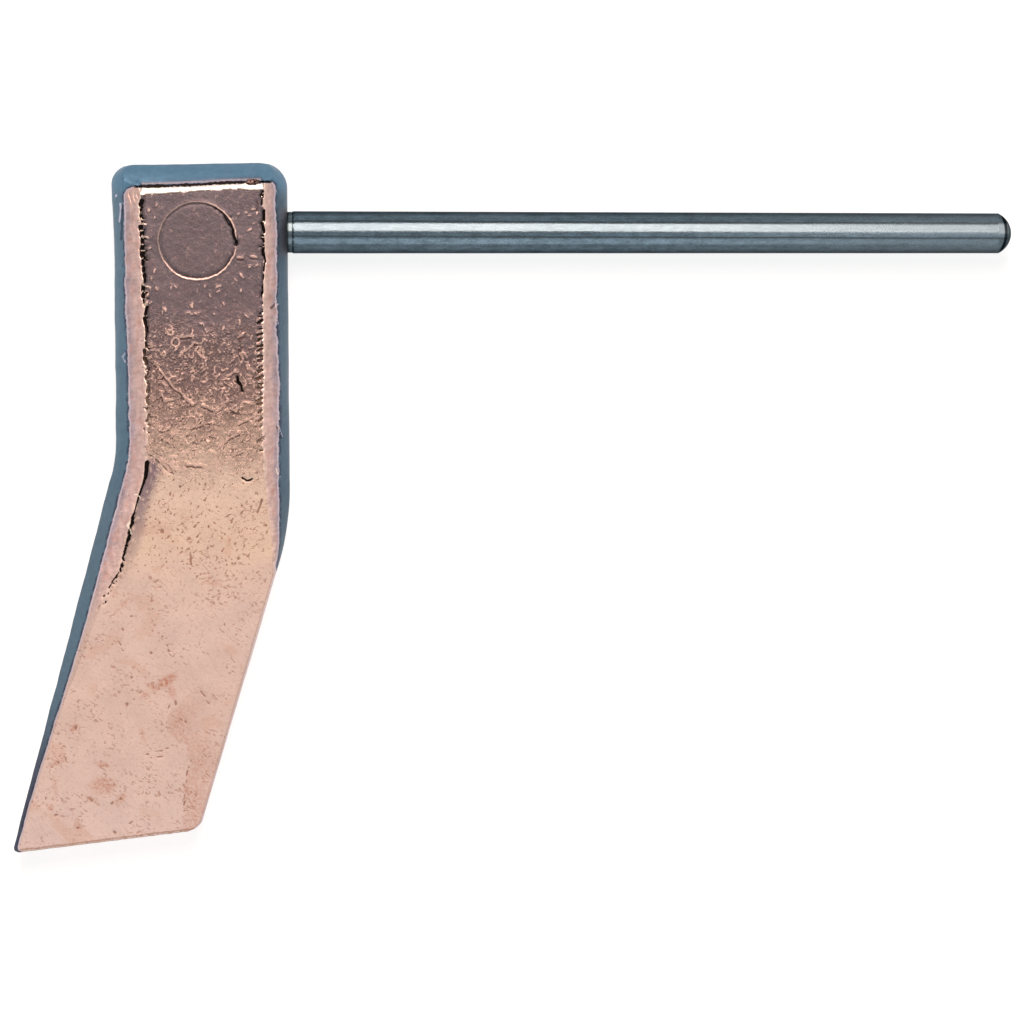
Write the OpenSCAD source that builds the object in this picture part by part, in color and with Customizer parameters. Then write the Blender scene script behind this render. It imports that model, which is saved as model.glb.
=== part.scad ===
// Soldering copper: a pressed copper bit, hatchet shaped, screwed onto a drawn steel stem.
// X runs along the stem to its free end, Y up the head and Z through its thickness.
// The origin is on the stem's axis, where the stem leaves the head.

/* [Copper head] */
// Width of the straight part of the head
head_w = 32.8; // [29:0.2:38]
// Thickness of the straight part, flat to flat
head_t = 18; // [15:0.5:24]
// Height of the head above the stem's axis
head_rise = 13; // [11:0.1:22]
// Length of the head below the stem's axis, down to the tip's lowest corner
head_drop = 116.4; // [105:0.1:130]
// Lean of the head off square to the stem, in degrees
lean = 0.5; // [-1.5:0.1:1.5]

/* [Worn and forged edges] */
// Width of the rounded shoulder along each side, seen from the front
shoulder_w = 2.1; // [1:0.1:3]
// Depth of that shoulder through the thickness
shoulder_drop = 3.4; // [2:0.1:3.6]
// Width of the shallow bevel between shoulder and flat
bevel_w = 3.4; // [1.5:0.1:5]
// Depth of that bevel
bevel_drop = 1.1; // [0.3:0.1:1.5]
// Width of the shoulder along the top end
top_shoulder_w = 3.7; // [2:0.1:5]
// Width of the narrow bevel along the top end
top_bevel_w = 1.3; // [0.5:0.1:3]
// Corner radius of the outline at the top, on the stem's side
top_corner_near = 4.2; // [1:0.1:5]
// Corner radius of the outline at the top, on the far side
top_corner_far = 2.4; // [1:0.1:5]

/* [Blade] */
// Where the far edge turns into the blade, below the stem's axis
far_knee = 42.2; // [36:0.2:50]
// Half the length of the far edge's bend
far_blend = 4.2; // [2:0.2:10]
// Slant of the blade's far edge, in degrees
far_slant = 15.3; // [8:0.1:20]
// Where the near edge turns into the blade, below the stem's axis
near_knee = 55.4; // [46:0.2:62]
// Half the length of the near edge's bend
near_blend = 7.5; // [2:0.2:12]
// Slant of the blade's near edge, in degrees
near_slant = 17.1; // [10:0.1:19]
// Where the faces start to taper, below the stem's axis
taper_knee = 42; // [36:0.2:60]
// Half the length over which that taper sets in
taper_blend = 5; // [2:0.5:12]
// Thickness of the tinning edge at the tip
tip_t = 1.6; // [1:0.1:3]
// Rise of the tip's edge toward the stem's side, in degrees
tip_rise = 6.8; // [0:0.1:12]
// Corner radius of the tip on the stem's side
tip_corner_near = 2; // [0.6:0.1:4]
// Corner radius of the tip on the far side
tip_corner_far = 0.8; // [0.4:0.1:4]

/* [Struck ring] */
// Radius of the plain struck ring on the front flat, to the middle of its groove
ring_r = 7.3; // [4:0.1:8]
// Width of its groove
ring_w = 0.7; // [0.3:0.1:1.2]
// Depth of its groove
ring_depth = 0.3; // [0.1:0.05:0.6]
// Distance of its centre below the stem's axis
ring_drop = 1.6; // [0:0.1:12]

/* [Stem] */
// Diameter of the drawn rod
stem_d = 8; // [6:0.1:9]
// Length of stem that stands out of the head
stem_l = 136.3; // [100:0.1:200]
// How much larger than the rod's radius the rounding of its free end is
dome_extra = 0.5; // [0.1:0.1:4]
// Width of the thread's run-out groove at the head
neck_w = 1; // [0.6:0.1:3]
// Depth of the run-out groove below the rod's surface
neck_depth = 0.25; // [0.1:0.05:0.5]

/* [Thread] */
// Length of the threaded spigot inside the head
spigot_l = 18; // [12:0.5:24]
// Pitch of the thread
pitch = 1.25; // [0.75:0.05:1.5]
// How far the thread's crests lie below the rod's surface
crest_relief = 0.06; // [0.02:0.01:0.2]
// Radial clearance between the two threads
thread_gap = 0.1; // [0.05:0.01:0.2]
// Chamfer at the spigot's end
spigot_chamfer = 0.8; // [0.3:0.1:1.5]
// Length of tapped hole left free past the spigot's end
hole_spare = 2.5; // [1:0.5:5]
// Full angle of the drill point at the bottom of the hole
drill_point = 118; // [90:1:140]

/* [Hidden] */
$fn = 96;
COPPER = [0.80, 0.58, 0.49];
STEEL = [0.56, 0.61, 0.65];

// Vertical distance from the top of the head to the tip's lowest corner
head_l = head_rise + head_drop;
// Fall of each face over the whole taper
taper_fall = (head_t - tip_t) / 2;
// Depths of the outline's stations below the top, close together at both ends
TOP_STEPS = 5;
BODY_STEPS = 34;
TIP_STEPS = 4;
top_zone = top_shoulder_w + top_bevel_w;
stations = concat(
    [for (i = [0:TOP_STEPS]) top_shoulder_w * (1 - cos(90 * i / TOP_STEPS))],
    [for (i = [0:BODY_STEPS]) top_zone + (head_l - tip_corner_near - top_zone) * i / BODY_STEPS],
    [for (i = [1:TIP_STEPS]) head_l - tip_corner_near * (1 - sin(90 * i / TIP_STEPS))]
);
// Points across each shoulder
SHOULDER_STEPS = 3;
// How strongly a shoulder bulges: 1 is a flat chamfer
SHOULDER_BULGE = 1.6;
// Points round one station: both edges of the front, then both edges of the back
SIDE_POINTS = SHOULDER_STEPS + 2;
RING_POINTS = 4 * SIDE_POINTS;

rod_r = stem_d / 2;
dome_r = rod_r + dome_extra;
crest_r = rod_r - crest_relief;
// Depth and flats of a 60 degree thread with cut crests
thread_depth = 0.61 * pitch;
crest_flat = pitch / 8;
root_flat = pitch / 4;
flank = (pitch - crest_flat - root_flat) / 2;
// Whole threads that fit between the run-out and the spigot's end
thread_count = floor((spigot_l - spigot_chamfer - 2 * pitch) / pitch);
hole_l = spigot_l + hole_spare;
root_r = crest_r - thread_depth;
tap_r = root_r + thread_gap;
mouth_r = rod_r + thread_gap;
EPS = 0.01;

// 0 before a knee and d after it, with a smooth bend of half length blend between
function ramp(d, blend) = d <= -blend ? 0 : d >= blend ? d : pow(d + blend, 2) / (4 * blend);

// How far a rounded corner of radius r draws an edge in, at distance d from the end
function drawn_in(d, r) = d >= r ? 0 : r - sqrt(r * r - pow(r - d, 2));

// Fall from a flat at distance e from the outline: bevel first, then shoulder
function fall(e, shoulder, bevel, shoulder_fall, bevel_fall) =
    e >= shoulder + bevel ? 0
    : e >= shoulder ? bevel_fall * (shoulder + bevel - e) / bevel
    : bevel_fall + shoulder_fall * pow(1 - e / shoulder, SHOULDER_BULGE);

// Outline of the head at height y: far side and near side, and depth d below the top
function far_x(y, d) = -head_w - tan(far_slant) * ramp(-far_knee - y, far_blend)
    + drawn_in(d, top_corner_far) + drawn_in(head_l - d, tip_corner_far);
function near_x(y, d) = -tan(near_slant) * ramp(-near_knee - y, near_blend)
    - drawn_in(d, top_corner_near) - drawn_in(head_l - d, tip_corner_near);

// Half thickness of the flats at depth d, and what share of the full thickness is left there
function half_t(d) = head_t / 2
    - taper_fall * ramp(d - head_rise - taper_knee, taper_blend) / (head_drop - taper_knee);
function share(d) = half_t(d) / (head_t / 2);

// The bevel fades out as the blade thins: none is left at a third of the thickness
function bevel_at(d) = bevel_w * max(0.05, (share(d) - 1 / 3) * 3 / 2);

// Distances from the outline of the points across one edge
function edge_points(d) = concat(
    [for (i = [0:SHOULDER_STEPS]) shoulder_w * i / SHOULDER_STEPS],
    [shoulder_w + bevel_at(d)]
);

// Height of the front surface at distance e from the outline and depth d below the top
function front_z(e, d) = min(
    half_t(d) - share(d) * fall(e, shoulder_w, bevel_at(d), shoulder_drop, bevel_drop),
    head_t / 2 - fall(d, top_shoulder_w, top_bevel_w, shoulder_drop, bevel_drop)
);

// One closed ring of points: it tilts toward the tip, where the edge rises to the near side
function station(d) =
    let (
        below = max(0, d - head_rise - taper_knee) / (head_drop - taper_knee),
        y_far = head_rise - d,
        x_far = far_x(y_far, d),
        y_near = y_far + below * tan(tip_rise) * (near_x(y_far, d) - x_far),
        x_near = near_x(y_near, d),
        slope = (y_near - y_far) / (x_near - x_far),
        across = concat(
            [for (e = edge_points(d)) [x_far + e, front_z(e, d)]],
            [for (i = [SIDE_POINTS - 1:-1:0]) let (e = edge_points(d)[i]) [x_near - e, front_z(e, d)]]
        ),
        front = [for (p = across) [p[0], y_far + slope * (p[0] - x_far), p[1]]]
    )
    concat(front, [for (i = [len(front) - 1:-1:0]) [front[i][0], front[i][1], -front[i][2]]]);

// The skin between station i and the next one, as triangles
function skin(i) = [
    for (j = [0:RING_POINTS - 1])
        let (
            a = i * RING_POINTS + j,
            b = i * RING_POINTS + (j + 1) % RING_POINTS
        )
        each [[a, b, a + RING_POINTS], [b, b + RING_POINTS, a + RING_POINTS]]
];

// An end of the head, as triangles between the front points and the back points behind them
END_FACES = [
    for (j = [0:RING_POINTS / 2 - 2])
        let (back = RING_POINTS - 1 - j)
        each [[j, back, j + 1], [j + 1, back, back - 1]]
];

// The pressed and forged bit, before it is drilled and struck
module bit() {
    last = (len(stations) - 1) * RING_POINTS;
    polyhedron(
        points = [for (d = stations) each station(d)],
        faces = concat(
            [for (f = END_FACES) f],
            [for (i = [0:len(stations) - 2]) each skin(i)],
            [for (f = END_FACES) [last + f[2], last + f[1], last + f[0]]]
        )
    );
}

// Half profile of one thread, as [distance into the head, radius], set out by gap
function thread_turn(x, gap) = [
    [x, root_r + gap],
    [x + flank, crest_r + gap],
    [x + flank + crest_flat, crest_r + gap],
    [x + 2 * flank + crest_flat, root_r + gap]
];

// All the turns, from the run-out into the head
function thread_turns(gap) = [for (i = [0:thread_count - 1]) each thread_turn(pitch * (1 + i), gap)];

// A solid of revolution about X, from points given as [distance into the head, radius]
module turned(points) {
    rotate([0, -90, 0])
        rotate_extrude()
            polygon([for (p = points) [p[1], p[0]]]);
}

// The drilled and tapped hole, with its countersunk mouth and drill point
module tapped_hole() {
    turned(concat(
        [[-1, 0], [-1, mouth_r + 1], [mouth_r - tap_r, tap_r]],
        thread_turns(thread_gap),
        [[hole_l, tap_r], [hole_l + tap_r / tan(drill_point / 2), 0]]
    ));
}

// The plain ring struck into the front flat
module struck_ring() {
    translate([-head_w / 2, -ring_drop, head_t / 2])
        rotate_extrude()
            polygon([
                [ring_r - ring_w / 2, EPS],
                [ring_r - ring_w / 5, -ring_depth],
                [ring_r + ring_w / 5, -ring_depth],
                [ring_r + ring_w / 2, EPS]
            ]);
}

// Solid copper bit: the straight part holds the stem, the blade is tinned and melts the solder
module copper_head() {
    color(COPPER)
        difference() {
            rotate([0, 0, lean])
                difference() {
                    bit();
                    struck_ring();
                }
            tapped_hole();
        }
}

// Drawn steel rod: its near end is threaded into the copper, its far end takes a handle
module stem() {
    neck_r = rod_r - neck_depth;
    color(STEEL) {
        // threaded spigot and the run-out groove outside the head
        turned(concat(
            [[-neck_w, 0], [-neck_w, neck_r], [0, neck_r], [neck_r - root_r, root_r]],
            thread_turns(0),
            [[spigot_l - spigot_chamfer, root_r], [spigot_l, root_r - spigot_chamfer], [spigot_l, 0]]
        ));
        // plain rod with its rounded end
        intersection() {
            translate([neck_w, 0, 0])
                rotate([0, 90, 0])
                    cylinder(r = rod_r, h = stem_l);
            union() {
                translate([stem_l - dome_r, 0, 0])
                    sphere(r = dome_r);
                rotate([0, 90, 0])
                    cylinder(r = stem_d, h = stem_l - dome_r);
            }
        }
    }
}

copper_head();
stem();
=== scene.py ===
import math

import bmesh
import bpy
import numpy as np
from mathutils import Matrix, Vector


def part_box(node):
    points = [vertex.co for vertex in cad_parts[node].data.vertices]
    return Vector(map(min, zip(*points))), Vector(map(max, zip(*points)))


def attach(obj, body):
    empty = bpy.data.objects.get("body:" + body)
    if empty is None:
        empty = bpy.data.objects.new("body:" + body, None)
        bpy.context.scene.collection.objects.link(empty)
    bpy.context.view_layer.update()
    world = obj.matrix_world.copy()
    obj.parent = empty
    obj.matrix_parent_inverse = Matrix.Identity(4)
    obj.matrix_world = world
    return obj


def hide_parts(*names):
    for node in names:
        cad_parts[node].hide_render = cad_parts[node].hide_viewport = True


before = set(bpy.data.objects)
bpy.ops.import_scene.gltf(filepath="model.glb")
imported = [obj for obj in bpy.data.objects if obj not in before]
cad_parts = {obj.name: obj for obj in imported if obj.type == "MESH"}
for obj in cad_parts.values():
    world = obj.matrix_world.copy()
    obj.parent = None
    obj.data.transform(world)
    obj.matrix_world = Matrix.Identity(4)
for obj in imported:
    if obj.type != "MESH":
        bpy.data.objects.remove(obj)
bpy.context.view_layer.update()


# The copper bit is one block of copper, forged to a hatchet: a straight part with bevelled
# edges, then a slanted blade that tapers to the tinning edge. The press leaves its faces
# wrinkled, torn along the bevels' feet and burred, with one shallow struck ring.
# Millimetres: x runs out along the stem from the bit's near side, y up from the stem's axis
MM = 0.001
head_low, head_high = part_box("copper_head")
HEAD_T = (head_high.z - head_low.z) / MM
HEAD_W = 32.55
HEAD_RISE = 13.0
HEAD_DROP = 116.4
HEAD_L = HEAD_RISE + HEAD_DROP
LEAN = math.radians(0.5)
TOP_CORNER_FAR, TOP_CORNER_NEAR = 3.6, 4.8
TIP_CORNER_FAR, TIP_CORNER_NEAR = 1.1, 2.0
TIP_T = 1.6
TIP_RISE = math.tan(math.radians(6.8))
FAR_SLANT, NEAR_SLANT = math.tan(math.radians(15.3)), math.tan(math.radians(17.1))
FAR_KNEE, NEAR_KNEE, TAPER_KNEE = 42.2, 55.4, 42.0
FAR_BLEND, NEAR_BLEND, TAPER_BLEND = 4.2, 7.5, 5.0
SHOULDER_DROP, BEVEL_DROP, TOP_BEVEL_DROP = 3.3, 1.1, 0.42
TOP_FLARE, TOP_TILT, TILT_X = 0.45, 0.008, -8.0
FACE_CORNER_FAR, FACE_CORNER_NEAR = 2.1, 0.8
# Room under the flat of the solid for what stands proud of the face
RELIEF_ROOM = 0.12
RING_X, RING_Y, RING_R = -16.86, -1.69, 7.34
# The photo's scale, and the pixel in it where the stem's axis enters the bit
PX_PER_MM = 5.31
STEM_ROOT_PX = (287.5, 232.0)
# Cuts of the block across, along and through, each in two passes
CUTS_ACROSS, CUTS_ALONG, CUTS_THROUGH = (11, 11), (19, 19), (2, 3)
# Strips across the block, and how many of them each shoulder and each bevel takes
STRIPS = (CUTS_ACROSS[0] + 1) * (CUTS_ACROSS[1] + 1)
SHOULDER_STRIPS, BEVEL_STRIPS = 9, 22
# Share of all triangles left once the plainer back and sides are thinned
BACK_SHARE = 0.62
FIBRES, WRINKLES, LATTICE = 120, 900, 256
# Few wrinkles cross this patch of the face
CALM_X, CALM_Y, CALM_R = -19.0, -17.0, 5.0
# How far the rim is counted each way, and what ring and crack hold where there is none
RIM_REACH, NO_RING, NO_SPLIT = 3.0, 2.0, -0.6


def ramp(d, blend):
    """0 before a knee and d after it, with a smooth bend of half length blend between."""
    bend = np.clip(d + blend, 0, 2 * blend)
    return bend ** 2 / (4 * blend) + np.clip(d - blend, 0, None)


def drawn_in(d, radius):
    """How far a rounded corner draws an edge in, at distance d from the end."""
    return radius - np.sqrt(radius ** 2 - np.clip(radius - d, 0, radius) ** 2)


def smooth(low, high, value):
    """0 at low, 1 at high and a smooth step between; low may be above high."""
    t = np.clip((value - low) / (high - low), 0, 1)
    return t * t * (3 - 2 * t)


def fall(e, shoulder, bevel, bevel_drop):
    """Fall from a flat at distance e from the outline: bevel first, then shoulder."""
    on_bevel = bevel_drop * np.clip((shoulder + bevel - e) / bevel, 0, 1)
    out = np.clip(1 - e / shoulder, 0, 1)
    return on_bevel + SHOULDER_DROP * (0.8 * out + 0.2 * out ** 4)


def grain(x, y, size, seed):
    """Smooth random lumps of about this size, from -1 to 1, on a lattice that repeats."""
    turn = np.random.default_rng(seed).uniform(0, 2 * math.pi, (LATTICE, LATTICE))
    lean_x, lean_y = np.cos(turn), np.sin(turn)
    i, j = np.floor(x / size).astype(int), np.floor(y / size).astype(int)
    u, v = x / size - i, y / size - j

    def corner(di, dj):
        at = (i + di) % LATTICE, (j + dj) % LATTICE
        return lean_x[at] * (u - di) + lean_y[at] * (v - dj)

    across, up = u ** 3 * (u * (u * 6 - 15) + 10), v ** 3 * (v * (v * 6 - 15) + 10)
    low = corner(0, 0) * (1 - across) + corner(1, 0) * across
    high = corner(0, 1) * (1 - across) + corner(1, 1) * across
    return 1.6 * (low * (1 - up) + high * up)


def worms(x, y, size, seed):
    """Thin curled ridges, as hot metal wrinkles in a press: 1 on a ridge, 0 between."""
    bent_x = x + 0.6 * size * grain(x, y, 1.3 * size, seed)
    bent_y = y + 0.6 * size * grain(x, y, 1.3 * size, seed + 1)
    return np.exp(-(grain(bent_x, bent_y, size, seed + 2) / 0.17) ** 2)


def stroke(x, y, mark):
    """Distance of each point from a short straight line."""
    x1, y1, x2, y2 = mark
    long_x, long_y = x2 - x1, y2 - y1
    t = ((x - x1) * long_x + (y - y1) * long_y) / (long_x ** 2 + long_y ** 2)
    t = np.clip(t, 0, 1)
    return np.hypot(x - x1 - t * long_x, y - y1 - t * long_y)


def worm(x, y, at_x, at_y, turn, half, curl):
    """Distance of each point from a short line that curls round its middle."""
    along = (x - at_x) * math.cos(turn) + (y - at_y) * math.sin(turn)
    aside = (y - at_y) * math.cos(turn) - (x - at_x) * math.sin(turn)
    return np.hypot(np.clip(abs(along) - half, 0, None), aside - curl * (along ** 2 - half ** 2 / 2))


def arc(x, y, at_x, at_y, radius, start, end):
    """Distance of each point from an arc, between two bearings in degrees."""
    bearing = np.radians(np.clip(np.degrees(np.arctan2(y - at_y, x - at_x)) % 360, start, end))
    return np.hypot(x - at_x - radius * np.cos(bearing), y - at_y - radius * np.sin(bearing))


def cut_along(axis, cuts):
    """Cuts every edge of the block that runs along one axis, as loops round it."""
    for number in cuts:
        block = bmesh.from_edit_mesh(bpy.context.object.data)
        for edge in block.edges:
            a, b = edge.verts
            edge.select_set(abs(a.co[axis] - b.co[axis]) > 1e-4)
        bpy.ops.mesh.subdivide(number_cuts=number)
        bpy.ops.mesh.select_all(action="DESELECT")


bpy.ops.object.select_all(action="DESELECT")
bpy.ops.mesh.primitive_cube_add(size=2)
head = bpy.context.object
head.name = head.data.name = "copper_bit"
bpy.ops.object.mode_set(mode="EDIT")
bpy.ops.mesh.select_mode(type="EDGE")
bpy.ops.mesh.select_all(action="DESELECT")
cut_along(0, CUTS_ACROSS)
cut_along(1, CUTS_ALONG)
cut_along(2, CUTS_THROUGH)
bpy.ops.object.mode_set(mode="OBJECT")

count = len(head.data.vertices)
block = np.empty(count * 3, np.float32)
head.data.vertices.foreach_get("co", block)
across, along, through = block.reshape(-1, 3).astype(float).T
side_strips = np.array([0, SHOULDER_STRIPS, SHOULDER_STRIPS + BEVEL_STRIPS])
borders = np.concatenate([side_strips, STRIPS - side_strips[::-1]]) / (STRIPS / 2) - 1
zone = np.interp(across, borders, np.arange(6))
# The cuts lie closer down to the bend than on the blade
depth = np.interp(-along, [-1, -0.88, 0.3, 0.97, 1], [0, 7.0, 76, HEAD_L - 1.8, HEAD_L])


def outline(y, depth):
    """Far and near edge of the head at height y, and depth below its top."""
    far = -HEAD_W - FAR_SLANT * ramp(-FAR_KNEE - y, FAR_BLEND) - TOP_FLARE * smooth(-3, 9, y)
    far += drawn_in(depth, TOP_CORNER_FAR) + drawn_in(HEAD_L - depth, TIP_CORNER_FAR)
    near = -NEAR_SLANT * ramp(-NEAR_KNEE - y, NEAR_BLEND)
    near -= drawn_in(depth, TOP_CORNER_NEAR) + drawn_in(HEAD_L - depth, TIP_CORNER_NEAR)
    return far, near


y_far = HEAD_RISE - depth
below = np.clip(depth - HEAD_RISE - TAPER_KNEE, 0, None) / (HEAD_DROP - TAPER_KNEE)
x_far, x_near = outline(y_far, depth)
y_near = y_far + below * TIP_RISE * (x_near - x_far)
x_near = outline(y_near, depth)[1]
# Shoulders and bevels keep their width down to the bend, and die out on the blade
far_shoulder = np.interp(
    -y_far, [-8, 4, 16, 22, 40, 49, 73, 79, 84, 88, 92, 96, 100, 104, 110],
    [2.2, 2.0, 2.05, 2.35, 2.5, 2.55, 2.45, 2.25, 2.05, 1.8, 1.55, 1.4, 1.1, 0.95, 0.75])
near_shoulder = np.interp(-y_far, [-8, -4, 4, 13, 18, 28, 40, 49, 55, 61, 66],
                          [2.05, 2.1, 1.85, 2.05, 2.05, 1.7, 1.9, 2.0, 1.6, 0.7, 0.15])
far_bevel = np.interp(
    -y_far, [-8, -4, 2, 10, 13, 22, 31, 40, 43.5, 46, 50, 54, 57, 63, 66, 69, 74, 79, 84, 90],
    [3.4, 3.2, 3.5, 3.55, 3.75, 3.58, 3.52, 3.6, 3.78, 4.05, 3.72, 3.68, 3.85, 3.95, 3.4, 2.55, 1.7, 1.4,
     0.9, 0.4])
near_bevel = np.interp(-y_far, [-8, 0, 4, 13, 22, 28, 32, 40, 50, 60, 66],
                       [2.3, 2.5, 2.55, 2.65, 2.95, 3.15, 3.3, 3.1, 2.5, 1.2, 0.2])
edges = np.stack([
    x_far, x_far + far_shoulder, x_far + far_shoulder + far_bevel,
    x_near - near_shoulder - near_bevel, x_near - near_shoulder, x_near,
])
whole = np.minimum(zone.astype(int), 4)
each = np.arange(count)
x = edges[whole, each] * (whole + 1 - zone) + edges[whole + 1, each] * (zone - whole)
y = y_far + (y_near - y_far) * (x - x_far) / (x_near - x_far)
# The top end is pressed a little out of square
depth_top = depth - TOP_TILT * (x - TILT_X)
y = y + smooth(12, 4, depth) * TOP_TILT * (x - TILT_X)
past_knee = ramp(depth - HEAD_RISE - TAPER_KNEE, TAPER_BLEND)
half_t = HEAD_T / 2 - (HEAD_T - TIP_T) / 2 * past_knee / (HEAD_DROP - TAPER_KNEE)
left = half_t / (HEAD_T / 2)
side_fall = left * np.maximum(fall(x - x_far, far_shoulder, far_bevel, BEVEL_DROP),
                              fall(x_near - x, near_shoulder, near_bevel, BEVEL_DROP))

# Distances in millimetres from the cracks at the bevels' feet, and from the shoulders' edge
gap_far, gap_near = x - edges[2], edges[3] - x
top_shoulder = np.interp(x, [-28, -24, -16.5, -11.8, -7], [4.29, 4.22, 3.99, 3.72, 3.6])
top_bevel = np.interp(x, [-28, -24, -16.5, -11.8, -9, -7], [1.56, 1.48, 1.2, 1.25, 1.2, 1.55])
over_top = depth_top - top_shoulder
gap_top = over_top - top_bevel
between = smooth(-0.3, 0.1, gap_far) * smooth(-0.3, 0.1, gap_near)
on_shoulder = smooth(0, -1.2, over_top)
top_drop = TOP_BEVEL_DROP * (between * (1 - on_shoulder) + 0.6 * on_shoulder)
face_z = np.minimum(half_t - side_fall, HEAD_T / 2 - fall(depth_top, top_shoulder, top_bevel, top_drop))
face_z -= RELIEF_ROOM


def corner_distance(a, b, radius):
    """Distance inside a corner that is rounded to this radius."""
    rounded = radius - np.hypot(np.clip(radius - a, 0, None), np.clip(radius - b, 0, None))
    return np.where((a < radius) & (b < radius), rounded, np.minimum(a, b))


rim = np.minimum(corner_distance(x - edges[1], over_top, FACE_CORNER_FAR),
                 corner_distance(edges[4] - x, over_top, FACE_CORNER_NEAR))
# Low on the blade the near side is as bare as the face
bare_near = smooth(-57, -65, y) * (gap_near < 3)
rim = np.maximum(rim, bare_near * (RIM_REACH + 0.15 + edges[5] - x) - RIM_REACH)
band = np.clip(np.where(zone < 2.5, zone - 1, 4 - zone), 0, 1)
x, y = x * math.cos(LEAN) - y * math.sin(LEAN), x * math.sin(LEAN) + y * math.cos(LEAN)


def from_photo(px, py):
    """A place read off the photo, in its pixels, as millimetres on the tool."""
    return round((px - STEM_ROOT_PX[0]) / PX_PER_MM, 1), round((STEM_ROOT_PX[1] - py) / PX_PER_MM, 1)


# Short cracks, each from end to end
CRACKS = [
    (-4.7, -50.3, -5.5, -52.6), (-18.1, -60.8, -18.1, -62.6), (-16.7, -39.1, -15.1, -38.9),
    (-5.6, -39.5, -4.5, -38.7), (-30.9, 5, -31.2, -1.5), (-2.9, -14.4, -2.3, -13.5),
    (-26.9, 6.6, -26.7, 6.5), (-1.9, -36.5, -1.2, -38.8),
]
# Painted shade just inside the ring: bearings from and to in degrees, how far in, half width
RING_SHADES = [
    (46, 66, 0.46, 0.1), (22, 44, 0.56, 0.13), (4, 22, 0.48, 0.16), (0, 4, 0.3, 0.2),
    (352, 360, 0.0, 0.26),
]
# Open clefts, each from end to end, with its half width
CLEFTS = [
    (-9.4, -27.4, -8.9, -28.8, 0.28), (-8.9, -28.8, -8.3, -30.2, 0.17), (-8.4, -46.2, -7.6, -46.8, 0.2),
    (-7.6, -46.8, -6.6, -46.5, 0.17),
]
# Scratches, each from end to end
SCRATCHES = [
    (-18.5, -99.8, -19.1, -103.8), (-26.7, -98.2, -22.4, -97.3), (-26.4, -99.2, -23.4, -98.8),
    (-19.3, -104.5, -19.5, -109), (-31.9, -77.1, -29.8, -80.4), (-16.2, -86.3, -14.6, -89.1),
    (-20.3, -91.6, -18.6, -92.6), (-23.6, -75.9, -22.1, -79), (-5.6, 5.7, -5.7, 3.6),
]
# Hairs and burrs of bare metal on the shoulders and across the far crack, each with its half width; the first
# is a painted glint on the far shoulder
HAIRS = [
    (-32.3, 6.9, -32.3, 6.6, 0.18), (-31.35, 5.3, -31.6, 1.8, 0.18), (-30.9, -23.4, -30.5, -22.9, 0.16),
    (-30.9, -23.4, -30.6, -24.6, 0.14), (-28.9, -49.2, -27.4, -50.1, 0.13), (-30, -55.2, -29.2, -57, 0.15),
    (-30.1, -55, -29.5, -54.6, 0.15), (-2.3, -14.4, -1.7, -13.6, 0.15), (-1.6, -36.4, -0.95, -38.7, 0.1),
    (-2, -44.4, -1.5, -46.2, 0.1), (-2.1, -16.7, -1.8, -17.3, 0.13), (-27.3, -9.9, -25.8, -10.5, 0.2),
    (-26.9, -13.9, -26.3, -13.4, 0.22), (-27.1, 1.5, -26.5, 1.2, 0.17), (-27.2, -0.8, -26.1, -1.2, 0.17),
]
# Brown stains on the blade: middle, half length and width, turn and depth of colour
STAINS = [
    (-22.8, -84.6, 1.8, 0.8, 0.55, 0.8), (-34.8, -104.3, 2, 1.3, 0.1, 0.55),
    (-39.5, -111.6, 0.6, 0.9, 0.3, 0.6), (-34.7, -100.4, 1.1, 0.3, -0.2, 0.75),
    (-36.8, -106.9, 1.1, 0.35, -0.5, 0.6), (-40.1, -93.3, 0.8, 0.4, 0.6, 0.7),
    (-43.1, -99.8, 1.5, 0.45, 0.35, 0.5), (-31.4, -106.8, 1.2, 0.6, 0.7, 0.4),
    (-21.6, -86.7, 0.5, 1.1, 0.2, 0.6), (-26.9, -87.3, 0.7, 0.45, 0.6, 0.6),
    (-25.4, -85.6, 1, 0.35, -0.4, 0.6), (-44.6, -108.4, 0.6, 0.5, 0, 0.5),
    (-43.7, -104.6, 0.4, 1.6, 0.1, 0.35), (-30.6, -69.8, 1, 0.5, 0.8, 0.4),
    (-14, -66, 1.4, 0.6, -0.3, 0.35), (-24.3, -63.3, 0.8, 0.4, 0.4, 0.4), (-11, -58.5, 0.9, 0.4, 1.2, 0.4),
    (-27.2, -94.7, 0.4, 1.5, 0.3, 0.35),
]
# Ridges over the bend, each from end to end, with a sunk lee below; the material paints each ridge light as a
# highlight and its lee dark as shade
HIGH_RIDGE = from_photo(182, 337) + from_photo(194, 336)
NEAR_RIDGE = from_photo(227, 377) + from_photo(237, 371)
RIDGES = [
    (-24.8, -24.8, -21.1, -29.4), (-21.1, -29.4, -17.7, -32.6), (-20.4, -23.3, -17.7, -21.3),
    (-11.1, -31.5, -13.2, -33.8), (-16, -32.4, -13.8, -33.6), (-18, -36.9, -14.1, -35.5),
    (-14.1, -35.5, -13.4, -36), (-9.1, -36.2, -5.7, -34.4), (-23.6, -30.7, -23, -31.5),
    (-23, -31.5, -21.2, -31.5), HIGH_RIDGE, (-16.7, -38.7, -15.1, -38.6), (-12.8, -40.5, -10.6, -38.6),
    (-10.6, -38.6, -8.9, -37.7), (-18.9, -43.7, -15.8, -44), NEAR_RIDGE, (-17.6, -21, -16.1, -21),
    (-8.9, -23, -8.3, -24), (-8.3, -19.3, -8.7, -19.6), (-9.4, -4.9, -8.3, -4.9), (-6.7, -4.7, -5.6, -4.8),
    (-24.5, -42.5, -21.3, -45.2), (-23.9, -42.4, -20.9, -44.8),
]
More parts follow.
